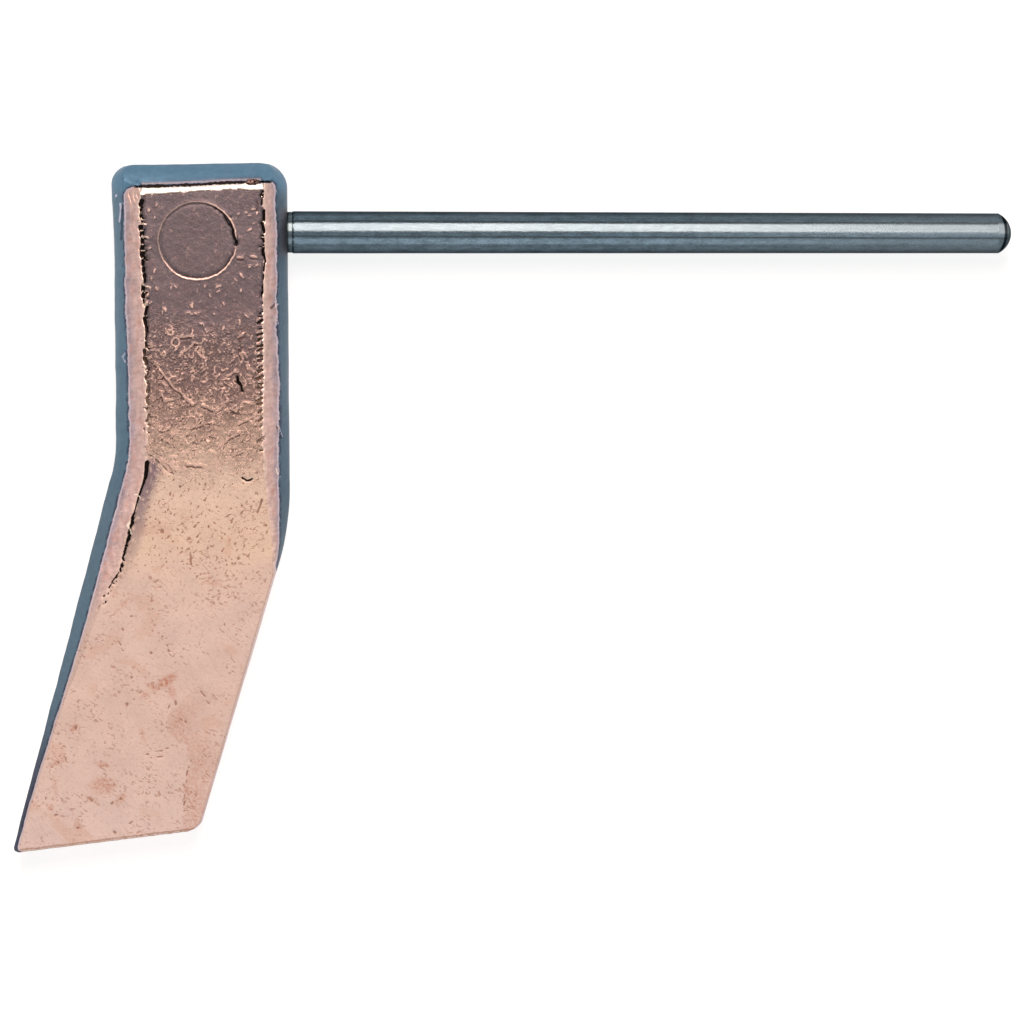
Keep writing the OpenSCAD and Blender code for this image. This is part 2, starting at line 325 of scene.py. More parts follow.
# Curled burrs, and the lobes of the folded corner: middle, radius, and bearings from and to
CURLS = [
    (-20.9, -20.8, 0.82, 0, 360), (-16.5, -22.2, 0.6, 0, 360), (-16.1, -22.8, 0.5, 0, 360),
    (-23.3, -22.9, 0.35, 0, 360), (-21.9, -18.9, 0.5, 0, 360), (-26.6, -11.7, 0.45, 30, 330),
    (-27.3, 6.7, 1.1, 112, 222), (-27.3, 6.7, 1.85, 114, 218), (-27.3, 6.7, 2.6, 124, 222),
]
# Pits, as they lie in loose chains: the upper ones in millimetres, the rest in the photo's pixels
PITS = [
    (-8.5, -17.7), (-8.7, -18.6), (-8.5, -19.8), (-8.8, -20.5), (-8.9, -21.5), (-9.1, -22.6),
    (-8.7, -23.3), (-9.8, -2.6), (-9.5, -3.4), (-10.1, 1.4), (-10.6, 2.6),
]
PITS_PX = [
    (202.6, 528), (209, 527.5), (198, 537.5), (208, 548), (180.3, 486.4), (182, 548), (182, 562),
    (257, 494), (241.7, 504.7), (239, 532), (169, 537), (162.8, 531), (172, 513.5), (238.5, 558),
    (143.6, 598.8), (131.7, 615.5), (123, 629), (185, 602), (225, 624.3), (188, 616), (151.6, 653),
    (131.7, 677), (137.3, 677), (154.7, 692.7), (140, 692), (134, 699), (127.5, 703.8), (121, 713.4),
    (112.4, 715), (109.2, 723.8), (102, 733), (102, 743), (95.7, 747.7), (180, 690), (175.4, 702.3),
    (169, 706), (165.8, 712.6), (169.8, 733.3), (191.3, 760.4), (180, 768.4), (90.9, 800.3), (65.4, 758.9),
    (59, 762), (51.8, 766), (51, 779.6), (47.8, 789), (46.2, 798), (52.6, 806.7), (55.8, 815.5),
    (76.5, 727), (68.6, 733), (125, 792), (121, 798.7), (111.6, 803.5), (78, 827.4), (84.5, 835),
    (130.7, 822.6), (122.8, 829), (114.8, 832), (63.8, 704.6),
]
PITS += [from_photo(*spot) for spot in PITS_PX]


def worked_face(x, y, seed, marked):
    """Relief of one face, and for each kind of mark on it how near it is, 1 at its middle."""
    draw = np.random.default_rng(seed)
    flat = smooth(0, 0.8, gap_far) * smooth(0, 0.8, gap_near) * smooth(0, 0.6, gap_top)
    bend = smooth(-13, -24, y) * smooth(-52, -42, y)
    wrinkled = flat * bend
    relief = 0.05 * grain(x, y, 8, seed) + 0.02 * grain(x, y, 3, seed + 1)
    relief += 0.05 * worms(x, y, 1.9, seed + 2) * wrinkled
    # Marks run a little crooked
    wry_x = x + 0.22 * grain(x, y, 1.3, seed + 50)
    wry_y = y + 0.22 * grain(x, y, 1.3, seed + 51)
    proud, sunk, hole, hair = np.zeros((4, len(x)))

    def add(kind, away, reach):
        """Keeps the nearest mark: its edge is where the value passes a half."""
        np.maximum(kind, 1 - away / (2 * reach), out=kind)

    # Short fibres where the skin of the metal tore on the straight part
    for _ in range(FIBRES):
        at_x, at_y = draw.uniform(-26, -5), draw.uniform(-34, 5)
        turn, long = draw.uniform(0, math.pi), draw.uniform(0.1, 0.5)
        if marked and math.hypot(at_x - RING_X, at_y - RING_Y) < RING_R + 1:
            continue
        step_x, step_y = long * math.cos(turn), long * math.sin(turn)
        add(proud, stroke(wry_x, wry_y, (at_x - step_x, at_y - step_y, at_x + step_x, at_y + step_y)),
            draw.uniform(0.12, 0.2))
    # Wrinkles over the bend, a raised crest and a sunk lee to each, painted by the material light as a
    # highlight and dark as shade
    for _ in range(WRINKLES):
        at_x, at_y = draw.uniform(-27, -4.5), -18 - 29 * draw.beta(1.7, 1.3)
        turn, half = draw.normal(0.1, 0.75), draw.uniform(0.12, 0.65)
        curl, reach = draw.uniform(-1.2, 1.2), draw.uniform(0.07, 0.14)
        if math.hypot(at_x - CALM_X, at_y - CALM_Y) < CALM_R and draw.uniform() < 0.7:
            continue
        near = np.flatnonzero((abs(x - at_x) < 1.6) & (abs(y - at_y) < 1.6))
        near_x, near_y = wry_x[near], wry_y[near]
        crest = 1 - worm(near_x, near_y, at_x, at_y, turn, half, curl) / (2 * reach)
        lee = 1 - worm(near_x, near_y, at_x + 0.05, at_y - 2.1 * reach, turn, half, curl) / (2 * reach)
        proud[near] = np.maximum(proud[near], crest * draw.uniform(0.75, 1))
        sunk[near] = np.maximum(sunk[near], lee * draw.uniform(0.5, 0.95) * smooth(-47, -41, at_y))
    ridges, cracks, pits, curls = RIDGES, CRACKS, PITS, CURLS
    # The back has the same kinds of marks, moved and turned
    if not marked:
        ridges = [(a, b - 4, a + draw.uniform(-3, 3), b - 4 + draw.uniform(-3, 3)) for a, b, _, _ in RIDGES]
        cracks = [(a, b + 6, a + draw.uniform(-2, 2), b + 6 + draw.uniform(-2, 2)) for a, b, _, _ in CRACKS]
        pits = [(a + draw.uniform(-3, 3), b + draw.uniform(-3, 3)) for a, b in PITS]
        curls = [(a + 4, b + 6, *bow) for a, b, *bow in CURLS[:5]]
    for mark in ridges:
        add(proud, stroke(wry_x, wry_y, mark), 0.2)
        add(sunk, stroke(wry_x, wry_y, (mark[0] - 0.1, mark[1] - 0.42, mark[2] - 0.1, mark[3] - 0.42)), 0.16)
    for at_x, at_y, r, *ends in curls:
        lobe = ends != [0, 360]
        add(proud, arc(wry_x, wry_y, at_x, at_y, r, *ends), 0.26 if lobe else 0.17)
        # The sunk arc just inside each curl is painted dark by the material, as its shade
        add(sunk, arc(wry_x, wry_y + 0.2, at_x, at_y, r - 0.3, *ends), 0.05 if lobe else 0.12)
    for mark in cracks:
        add(sunk, stroke(wry_x, wry_y, mark), 0.24)
    for *ends, reach in CLEFTS:
        add(hole, stroke(wry_x, wry_y, ends), reach)
    stain = np.zeros_like(x)
    if marked:
        for mark in SCRATCHES:
            add(sunk, stroke(wry_x, wry_y, mark) + 0.06 * grain(x, y, 0.5, seed + 70), 0.11)
        for at_x, at_y, long, wide, turn, deep in STAINS:
            u = (wry_x - at_x) * math.cos(turn) + (wry_y - at_y) * math.sin(turn)
            v = (wry_y - at_y) * math.cos(turn) - (wry_x - at_x) * math.sin(turn)
            stain = np.maximum(stain, deep * np.clip(1.6 - np.hypot(u / long, v / wide), 0, 1))
        # The orange tarnish at the lower right ends at a wandering border
        border = np.interp(-y, [82, 87, 91, 94, 97, 100, 104, 112],
                           [-11, -18.5, -22.3, -22.8, -18.9, -18.2, -19.5, -19.6])
        past = x - border + 0.4 * grain(x, y, 1.6, seed + 80)
        tarnish = smooth(-0.15, 0.25, past) * smooth(9, 1.5, past) * smooth(-85, -92, y)
        stain = np.maximum(stain, 0.33 * tarnish)
    for at_x, at_y in pits:
        slant = draw.uniform(-0.6, 0.6)
        away = np.hypot(wry_x - at_x + slant * (y - at_y), (wry_y - at_y) * draw.uniform(0.6, 1.5))
        add(sunk, away, draw.uniform(0.16, 0.34))
    relief += 0.08 * smooth(0.3, 0.9, proud) - 0.1 * smooth(0.4, 0.9, sunk)
    ring = np.full_like(x, NO_RING)
    if marked:
        out = np.hypot(x - RING_X, y - RING_Y) - RING_R
        out += 0.1 * grain(x, y, 3.1, seed + 90) + 0.09 * grain(x, y, 0.8, seed + 91)
        ring = np.clip(out, -NO_RING, NO_RING)
        inside = smooth(-0.4, -0.8, out)
        relief *= 1 - 0.5 * inside
        relief += 0.07 * np.exp(-(out / 0.16) ** 2) - 0.09 * np.exp(-((out + 0.36) / 0.2) ** 2)
        proud *= 1 - inside
        sunk *= 1 - inside
    # How strongly the ring's painted highlight and shade show at each bearing: most at the upper right and
    # along the bottom
    bearing = np.degrees(np.arctan2(y - RING_Y, x - RING_X)) % 360
    struck = np.interp(bearing, [0, 8, 60, 80, 130, 200, 225, 250, 300, 340, 352, 360],
                       [0.1, 1, 1, 0.4, 0.25, 0.25, 0.55, 0.8, 0.75, 0.65, 0.1, 0.1])
    if marked:
        for start, end, in_by, reach in RING_SHADES:
            add(hole, arc(wry_x, wry_y, RING_X, RING_Y, RING_R - in_by, start, end), reach)
    # At the bevels' feet the metal is torn: at the far one in a row of holes with hairs across
    # them, at the near one in a narrow crack. From and to which height, how wide, how long and
    # how far apart the holes are, and the share of them that have hairs
    for gap, at, low, wide, long, apart, hairy in [(gap_far, 5.4, -38, 0.34, 0.6, 0.4, 0.6),
                                                   (gap_near, 7.6, -14.5, 0.2, 1.1, 0.1, 0.12)]:
        while at > low:
            worn = np.interp(-at, [12, 20, 28, 37], [1, 0.8, 0.7, 0.4])
            half, off = draw.uniform(0.1, 0.1 + long * worn ** 2), draw.uniform(-wide, 0.2) / worn
            tilt = draw.uniform(-0.8, 1.1) * half * wide / worn ** 2
            away = stroke(gap - off, y, (-tilt, at - half, tilt, at + half))
            add(hole, away, wide * worn * draw.uniform(0.5, 1.4))
            at -= half + draw.uniform(0.02, apart / worn)
            if draw.uniform() < hairy:
                reach, off = draw.uniform(0.15, 0.5) * worn, draw.uniform(-0.25, 0.3)
                tilt = reach * draw.uniform(-0.1, 0.9)
                add(hair, stroke(gap - off, wry_y, (-reach, at + tilt, reach, at - tilt)),
                    draw.uniform(0.08, 0.16))
                tilt = draw.uniform(-0.2, 0.5)
                add(hole, stroke(gap, wry_y, (0, at, 0.3 + reach, at - tilt)), 0.12)
            at -= half + draw.uniform(0, apart / worn)
    # Lower down the near one the skin has torn into hooks, each with its own dark cleft
    at = -15.2
    while at > -42:
        size = draw.uniform(0.6, 1.25) * np.interp(-at, [30, 36, 42], [1, 0.8, 0.6])
        lift = draw.uniform(0.05, 0.4)
        add(hole, stroke(gap_near, wry_y, (0.9 * size, at - lift, -0.05, at + 0.5 * lift)), 0.22 * size)
        add(hair if draw.uniform() < 0.5 else proud,
            stroke(gap_near, wry_y, (1.1 * size, at + 0.4 - lift, 0.4, at + 0.45)), 0.16 * size)
        at -= draw.uniform(0.75, 1.3) * np.interp(-at, [30, 36, 42], [1, 1.5, 2.2])
    # On the blade the far crack goes on as a row of short nicks, finer and finer
    for at in np.arange(-53, -71, -0.5):
        fade = float(smooth(-72, -58, at))
        off, half = draw.uniform(-0.5, 0.4) * (1.3 - fade), draw.uniform(0.05, 0.3)
        add(hole, stroke(gap_far - off, y, (-0.1, at - half, 0.1, at + half)),
            (0.1 + 0.13 * fade) * draw.uniform(0.5, 1.3))
    for *ends, reach in HAIRS if marked else []:
        add(hair, stroke(wry_x, wry_y, ends), reach)
    # Lower down the far one opens to a clean crack, and closes again on the blade
    split = np.interp(-y, [42.6, 43.2, 46, 47.6, 50, 52, 54, 55.4, 56.6, 58.3, 59.5, 64],
                      [-0.6, 0.4, 0.34, 0.2, 0.18, 0.1, 0.14, 0.0, 0.22, 0.08, -0.1, -0.4])
    split = np.where(gap_far < 3, split, NO_SPLIT)
    # Where the material paints shade beside the open crack
    crack_shade = smooth(3.4, 1.3, gap_far + 0.35 * grain(x, y, 1.2, seed + 60)) * smooth(-0.1, 0.2, gap_far)
    crack_shade *= np.interp(-y, [42.2, 43.4, 50, 60, 67], [0, 1, 0.9, 0.45, 0])
    open_top = np.exp(-((over_top - 0.05) / 0.22) ** 2) * between
    relief -= 0.3 * smooth(0.3, 0.8, hole) + 0.3 * open_top + 0.35 * smooth(0.1, -0.2, abs(gap_far) - split)
    relief += 0.05 * smooth(0.3, 0.9, hair)
    # Burrs stand along the shoulders' edge
    burrs = smooth(-0.2, 0.5, grain(x, y, 1.5, seed + 30)) * smooth(-95, -60, y)
    relief += 0.06 * np.exp(-(rim / 0.2) ** 2) * burrs
    relief *= smooth(-1.2, -0.1, rim)
    return relief, wrinkled, proud, sunk, hole, hair, ring, struck, split, crack_shade, stain


front = worked_face(x, y, 3, True)
back = worked_face(x, y, 40, False)
is_front = through > 0
relief, *marks = [np.where(is_front, f, b) for f, b in zip(front, back)]
# The sides carry the slow unevenness of the hammer, held off the drilled mouth
z = through * face_z
side_in = 1 - np.clip(np.minimum(zone, 5 - zone), 0, 1)
off_mouth = smooth(4.5, 9, np.hypot(y, z)) + (x < -16)
side_relief = side_in * off_mouth * (0.06 * grain(y, z, 7, 71) + 0.02 * grain(y, z, 2.2, 72))
x = x + np.where(zone < 2.5, -side_relief, side_relief)
end_in = 1 - np.clip(depth / top_shoulder, 0, 1)
y = y + end_in * (0.07 * grain(x, z, 8, 73) + 0.02 * grain(x, z, 2.5, 74))
tip_in = smooth(1.2, 0, HEAD_L - depth)
y = y + tip_in * 0.07 * grain(x, z, 0.9, 75)
on_face = abs(through) > 0.999
z = z + np.where(on_face, np.sign(through) * relief, 0)
y = np.clip(y, head_low.y / MM, head_high.y / MM)
z = np.clip(z, -HEAD_T / 2, HEAD_T / 2)
head.data.vertices.foreach_set("co", (np.stack([x, y, z], 1) * MM).astype(np.float32).ravel())


def keep(mesh, name, values):
    """Keeps one value for each vertex, for the material to read."""
    mesh.attributes.new(name, "FLOAT", "POINT").data.foreach_set("value", values.astype(np.float32))


bare_wall = np.maximum(smooth(2.2, 1.2, HEAD_L - depth), smooth(-57, -65, y) * (zone > 4.5))
keep(head.data, "rim", np.where(on_face, rim, (bare_wall * 2 - 1) * RIM_REACH))
keep(head.data, "band", np.where(on_face, band, 0))
keep(head.data, "end", np.clip(HEAD_L - depth, 0, 6))
keep(head.data, "gap", np.clip(np.minimum(gap_far, gap_near), -6, 6))
keep(head.data, "gap_top", np.clip(gap_top, -6, 6))
keep(head.data, "over_top", np.clip(over_top, -6, 6))
kinds = ("wrinkled", "proud", "sunk", "hole", "hair", "ring", "struck", "split", "crack_shade", "stain")
off_face = {"ring": NO_RING, "split": NO_SPLIT}
for name, values in zip(kinds, marks):
    keep(head.data, name, np.where(on_face, values, off_face.get(name, 0)))
head.data.update()

spare = head.vertex_groups.new(name="spare")
spare.add(np.flatnonzero(through < 0.5).tolist(), 1.0, "REPLACE")
bpy.context.view_layer.objects.active = head
thin = head.modifiers.new("thin", "DECIMATE")
thin.ratio = BACK_SHARE
thin.vertex_group = "spare"
bpy.ops.object.modifier_apply(modifier="thin")

# The hole for the stem: tapped, and opened to a cone at its mouth
HOLE_R, MOUTH_R, HOLE_L, POINT_L = 3.278, 4.1, 20.5, 2
DRILL_OUT = 4
bpy.ops.object.select_all(action="DESELECT")
bpy.ops.mesh.primitive_cylinder_add(vertices=64, radius=MOUTH_R * MM, depth=DRILL_OUT * MM,
                                    location=(DRILL_OUT / 2 * MM, 0, 0), rotation=(0, math.pi / 2, 0))
drill = bpy.context.object
bpy.ops.object.mode_set(mode="EDIT")
bpy.ops.mesh.select_mode(type="FACE")
bpy.ops.mesh.select_all(action="DESELECT")


def pick_end(mesh):
    """Selects the flat end that faces the far side."""
    drilled = bmesh.from_edit_mesh(mesh)
    lowest = min(face.calc_center_median().z for face in drilled.faces)
    for face in drilled.faces:
        face.select_set(abs(face.calc_center_median().z - lowest) < 1e-7)
    bmesh.update_edit_mesh(mesh)


pick_end(drill.data)
for long, wide in [(MOUTH_R - HOLE_R, HOLE_R / MOUTH_R), (HOLE_L, 1), (POINT_L, 0.02)]:
    bpy.ops.mesh.extrude_region_move(TRANSFORM_OT_translate={"value": (-long * MM, 0, 0)})
    bpy.ops.transform.resize(value=(wide, wide, wide))
bpy.ops.object.mode_set(mode="OBJECT")
bpy.ops.object.transform_apply(location=True, rotation=True, scale=True)
bore = head.modifiers.new("bore", "BOOLEAN")
bore.operation = "DIFFERENCE"
bore.solver = "EXACT"
bore.object = drill
bpy.context.view_layer.objects.active = head
bpy.ops.object.modifier_apply(modifier="bore")
bpy.data.objects.remove(drill)
head.select_set(True)
bpy.ops.object.shade_smooth()


class Wire:
    """One output of a shader node; sums on it are written as sums."""

    def __init__(self, finish, socket):
        self.finish, self.socket = finish, socket

    def sum(self, operation, *values):
        return self.finish.node("ShaderNodeMath", dict(enumerate(values)), operation=operation)

    def most(self, other):
        """The greater of two values at each point."""
        return self.sum("MAXIMUM", self, other)

    def __add__(self, other):
        return self.sum("ADD", self, other)

    def __sub__(self, other):
        return self.sum("SUBTRACT", self, other)

    def __rsub__(self, other):
        return self.sum("SUBTRACT", other, self)

    def __mul__(self, other):
        return self.sum("MULTIPLY", self, other)

    def __truediv__(self, other):
        return self.sum("DIVIDE", self, other)

    def __abs__(self):
        return self.sum("ABSOLUTE", self)

    __radd__, __rmul__ = __add__, __mul__


class Finish:
    """A material, or the room's light, in the making: its shader and the nodes that lead to it."""

    def __init__(self, name, kind="materials", shader="Principled BSDF"):
        self.made = getattr(bpy.data, kind).new(name)
        self.made.use_nodes = True
        self.tree = self.made.node_tree
        self.shader = self.tree.nodes[shader]
        self.place = None

    def node(self, kind, values=None, out=0, stops=None, **settings):
        """Adds a node: its settings first, then the values or links of its sockets."""
        node = self.tree.nodes.new(kind)
        for name, value in settings.items():
            setattr(node, name, value)
        if stops:
            ramp = node.color_ramp.elements
            for _ in stops[2:]:
                ramp.new(0.5)
            for stop, (at, colour) in zip(list(ramp), stops):
                stop.position, stop.color = at, (*colour, 1)
        for name, value in (values or {}).items():
            self.feed(node.inputs[name], value)
        return Wire(self, node.outputs[out])

    def feed(self, socket, value):
        if isinstance(value, Wire):
            self.tree.links.new(value.socket, socket)
        elif socket.type == "RGBA":
            socket.default_value = (*value[:3], 1)
        else:
            socket.default_value = value

    def where(self):
        """The place on the object, in millimetres."""
        if self.place is None:
            local = self.node("ShaderNodeTexCoord", out="Object")
            in_mm = (1 / MM, 1 / MM, 1 / MM)
            self.place = self.node("ShaderNodeVectorMath", {0: local, 1: in_mm}, operation="MULTIPLY")
        return self.place

    def axis(self, name):
        return self.node("ShaderNodeSeparateXYZ", {0: self.where()}, out=name)

    def kept(self, name):
        return self.node("ShaderNodeAttribute", out="Fac", attribute_name=name)

    def step(self, value, low, high, to=1.0):
        """0 where the value is at low, to where it is at high."""
        return self.node("ShaderNodeMapRange", {"Value": value, 1: low, 2: high, 3: 0.0, 4: to},
                         interpolation_type="SMOOTHSTEP")

    def speckle(self, size, detail=2.0, rough=0.5, stretch=(1, 1, 1), turn=0.0, warp=0.0, shift=(0, 0, 0)):
        """Noise about 0.5 with lumps of this size in millimetres, drawn out along the turn."""
        spot = self.node("ShaderNodeMapping", {"Vector": self.where(), "Location": shift,
                                               "Rotation": (0, 0, turn), "Scale": stretch},
                         vector_type="TEXTURE")
        return self.node("ShaderNodeTexNoise", {"Vector": spot, "Scale": 1 / size, "Detail": detail,
                                                "Roughness": rough, "Distortion": warp})

    def spots(self, low, high, size, **look):
        """Patches of this size: 0 where the noise is at low, 1 where it is at high."""
        return self.step(self.speckle(size, **look), low, high)

    def threads(self, size, thin, shift=(0, 0, 0)):
        """Curled lines, 1 on a line and 0 off it, as hot metal wrinkles in a press."""
        web = self.speckle(size, detail=1.5, rough=0.55, warp=0.9, shift=shift)
        return self.step(abs(web - 0.5), thin, 0.0)

    def mix(self, share, a, b):
        return self.node("ShaderNodeMix", {0: share, 6: a, 7: b}, out=2, data_type="RGBA")

    def shade(self, colour, amount):
        """Makes a colour lighter or darker by a varying amount."""
        return self.node("ShaderNodeVectorMath", {0: colour, "Scale": amount}, operation="SCALE")


def tone(red, green, blue):
    """A colour as it looks, 0 to 255, in the light values that Blender works in."""
    return tuple((c / 255 / 12.92) if c < 10 else ((c / 255 + 0.055) / 1.055) ** 2.4
                 for c in (red, green, blue))


PEACH, LILAC, CREAM = tone(222, 184, 168), tone(161, 142, 147), tone(221, 206, 193)
HAIR, LEE_SHADE, CRACK_BLACK = tone(238, 220, 200), tone(84, 62, 58), tone(24, 18, 16)
copper = Finish("worked_copper")
height = copper.axis("Y")
on_blade = copper.step(height, -40, -60)
on_straight = 1 - on_blade
# Brown and glossy where the bit is straight, paler over the bend, pinkish and dull on the blade:
# the colour by height, on a scale that starts below the tip. It is partly the copper's own tone
# and partly painted reflection, darker on the straight face and lighter on the blade
SKIN_FLOOR, SKIN_SPAN = 120, 130
SKIN_AND_REFLECTION_BY_HEIGHT = [
    (-112, (200, 173, 162)), (-88, (198, 169, 156)), (-76, (199, 171, 159)), (-67, (200, 171, 157)),
    (-58, (202, 172, 152)), (-48.5, (203, 174, 155)), (-41, (168, 141, 125)), (-35.4, (136, 112, 101)),
    (-28.8, (102, 82, 78)), (-22, (93, 76, 75)), (-13.7, (90, 76, 78)), (7, (90, 78, 81)),
]
lumps = copper.speckle(5, detail=4)
fine = copper.speckle(0.3, detail=3, rough=0.7)
skin = copper.node("ShaderNodeValToRGB", {0: (height + (lumps - 0.5) * 14 + SKIN_FLOOR) / SKIN_SPAN},
                   stops=[((SKIN_FLOOR + y) / SKIN_SPAN, tone(*colour)) for y, colour in SKIN_AND_REFLECTION_BY_HEIGHT])
skin = copper.shade(skin, (lumps - 0.5) * 0.25 + (fine - 0.5) * (on_straight * 0.2 + 0.5) + 1)
cloud = copper.spots(0.38, 0.62, 1.7, shift=(11, 5, 0))
skin = copper.mix(cloud * copper.step(height, -34, -20) * 0.35, skin, tone(88, 80, 82))
freckles = copper.spots(0.58, 0.7, 0.4, rough=0.6)
skin = copper.mix(freckles * (on_straight * 0.25 + 0.06), skin, tone(60, 54, 54))
# Wrinkles over the bend: a painted highlight along each crest, and painted shade in its lee
LEE = (0.06, 0.24, 0)
wrinkled = copper.kept("wrinkled") * copper.spots(0.36, 0.52, 2.6, detail=3)
crest = copper.threads(1.5, 0.055).most(copper.threads(0.95, 0.05) * 0.8)
lee = copper.threads(1.5, 0.06, LEE).most(copper.threads(0.95, 0.055, LEE) * 0.8)
skin = copper.mix(lee * wrinkled * 0.3, skin, LEE_SHADE)
skin = copper.mix(crest * (wrinkled * 0.2 + 0.03), skin, PEACH)
# Fine scuffs everywhere on the straight part
scuff = copper.threads(0.8, 0.05) * copper.spots(0.56, 0.64, 1.1, shift=(7, 3, 0))
skin = copper.mix(scuff * on_straight * 0.22, skin, PEACH)
# Deeper orange patches and small brown dots and dashes on the blade
patch = copper.spots(0.57, 0.64, 9, detail=5, warp=0.6) * on_blade * 0.4
skin = copper.mix(patch, skin, tone(192, 152, 133))
swarm = copper.spots(0.45, 0.62, 5, detail=3, shift=(3, 9, 0))
dots = copper.spots(0.6, 0.7, 0.6, detail=1, rough=0.3)
dashes = copper.spots(0.61, 0.69, 0.5, detail=1, stretch=(2.2, 0.8, 1), turn=-0.7)
dots = dots.most(dashes) * (swarm * 0.75 + 0.25)
skin = copper.mix(dots * (on_blade * 0.5 + 0.06), skin, tone(150, 106, 86))
# Bigger brown ones lie just below the bend
big_dots = copper.spots(0.62, 0.68, 0.6, detail=1.5, stretch=(1.4, 0.9, 1), turn=0.9)
big_dots = big_dots * copper.step(height, -80, -56) * copper.step(height, -40, -46)
skin = copper.mix(big_dots * 0.7, skin, tone(130, 84, 66))
# Bevels: lilac at the shoulder, peach at the foot, a painted reflection across their curve
bevelled = copper.kept("band")
gap = copper.kept("gap")
on_bevel = copper.step(gap + (copper.speckle(0.6) - 0.5) * 0.9, 0.05, -0.05)
on_bevel = on_bevel * copper.step(height, -80, -60)
bevel_skin = copper.mix(copper.step(bevelled + (lumps - 0.5) * 0.8, 0, 0.6), LILAC, tone(195, 163, 155))
flush = copper.spots(0.5, 0.68, 1.4, detail=3, rough=0.6, stretch=(0.8, 1.5, 1), shift=(5, 1, 0))
bevel_skin = copper.mix(flush * 0.5, bevel_skin, tone(190, 140, 126))
# A painted highlight along the bevel's foot
foot_highlight = copper.step(abs(gap) + (copper.speckle(1, detail=3) - 0.5) * 1.8, 0.9, 0.2)
bevel_skin = copper.mix(foot_highlight * 0.8, bevel_skin, tone(211, 181, 166))
ripples = copper.speckle(0.7, detail=3, stretch=(2.2, 0.8, 1), turn=0.15)
streaks = copper.speckle(1.1, detail=3, rough=0.6, stretch=(0.7, 1.8, 1))
bevel_skin = copper.shade(bevel_skin, (ripples - 0.5) * 0.7 + (streaks - 0.5) * 0.8 + 1)
skin = copper.mix(on_bevel, skin, bevel_skin)
# The upper bevel is painted nearly white, as the lamp's highlight on it
gap_top = copper.kept("gap_top")
between = copper.step(gap, -0.2, 0.2)
jag = copper.speckle(0.5, rough=0.6) - 0.5
on_top = copper.step(gap_top + jag * 0.3, 0.1, 0) * between * copper.step(height, 2, 5)
skin = copper.mix(on_top, skin, CREAM)
# Painted shade, purple-grey, beside the open crack
crack_shade_tint = copper.kept("crack_shade") * copper.spots(0.22, 0.5, 0.6, detail=3, stretch=(1, 2, 1), turn=-0.3)
skin = copper.mix(crack_shade_tint * 0.92, skin, tone(114, 95, 102))
# The marks kept in the mesh: ridges, crests and burrs painted light as the highlight they catch; pits,
# scratches and cracks brown to black, and the lees below ridges, wrinkles and curls painted dark as shade
stain = copper.kept("stain") * (copper.spots(0.42, 0.58, 0.5, detail=3, rough=0.7) * 0.9 + 0.35)
skin = copper.mix(stain, skin, tone(172, 118, 96))
marks_brown = copper.mix(on_blade, tone(66, 48, 44), tone(140, 98, 80))
skin = copper.mix(copper.step(copper.kept("sunk") + jag * 0.25, 0.4, 0.62) * 0.75, skin, marks_brown)
crests = copper.mix(on_straight, PEACH, tone(206, 168, 152))
skin = copper.mix(copper.step(copper.kept("proud") + jag * 0.3, 0.4, 0.62) * 0.55, skin, crests)
end = copper.kept("end") + (copper.speckle(0.6) - 0.5) * 0.5
skin = copper.mix(copper.step(abs(end - 0.35), 0.2, 0.08) * 0.6, skin, tone(140, 104, 88))
# The ring: a painted highlight along its line, and painted shade in the hollow just inside it
ring = copper.kept("ring")
struck = copper.kept("struck") * (copper.speckle(1.5) * 0.8 + 0.6)
skin = copper.mix(copper.step(abs(ring + 0.34), 0.3, 0.1) * struck * 0.85, skin, CRACK_BLACK)
skin = copper.mix(copper.step(abs(ring + jag * 0.15), 0.18, 0.06) * struck, skin, PEACH)
# Painted shade: black in the open crack, the torn holes and clefts, and the crack at the top bevel's foot
split = copper.kept("split")
frayed = copper.step(height, -52, -58) * 0.8 + 0.25
open_crack = copper.step(abs(gap) - split + jag * frayed, 0.06, -0.06) * copper.step(split, -0.4, -0.1)
torn = copper.step(copper.kept("hole") + jag * 0.35, 0.42, 0.62)
low_crack = copper.step(abs(gap_top + jag * 0.3), 0.2, 0.08) * between
low_crack = low_crack * copper.spots(0.4, 0.5, 1.6, detail=1) * 0.8
black = open_crack.most(torn).most(low_crack)
# The torn feet of the bevels turn from black to brown towards the bend
browned = copper.step(height, -15, -38) * copper.step(height, -41.5, -40)
browned = browned * copper.step(abs(gap), 1.6, 1.2)
skin = copper.mix(black, skin, copper.mix(browned, CRACK_BLACK, tone(108, 84, 70)))
# Blue-grey on the sides' shoulders, painted as a reflection, with a thin lilac line where it ends, painted as
# a highlight
ragged = (copper.speckle(0.8, detail=4, rough=0.75) - 0.5) * 0.7 + (copper.speckle(2.4) - 0.5) * 0.9
rim = copper.kept("rim") + ragged * (on_straight * 0.6 + 0.4)
edge_highlight = copper.step(abs(rim - 0.16), 0.24, 0.08) * (copper.speckle(2, detail=3) * 0.8 + 0.3)
skin = copper.mix(edge_highlight, skin, tone(196, 180, 188))
on_shoulder = copper.step(rim, 0.05, -0.05)
run_x = copper.axis("X")
over_top = copper.kept("over_top")
slate = copper.mix(copper.speckle(9, detail=3), tone(84, 106, 122), tone(94, 118, 134))
slate = copper.mix(copper.step(height, -44, -54) * 0.6, slate, tone(104, 122, 134))
slate = copper.mix(copper.step(height, -85, -105) * 0.7, slate, tone(74, 68, 80))
slate = copper.mix(copper.step(height, 6, 9) * 0.6, slate, tone(92, 126, 150))
near_edge = copper.step(run_x, -6, -2) * copper.step(height, 9, 6)
slate = copper.mix(near_edge * 0.5, slate, tone(80, 92, 104))
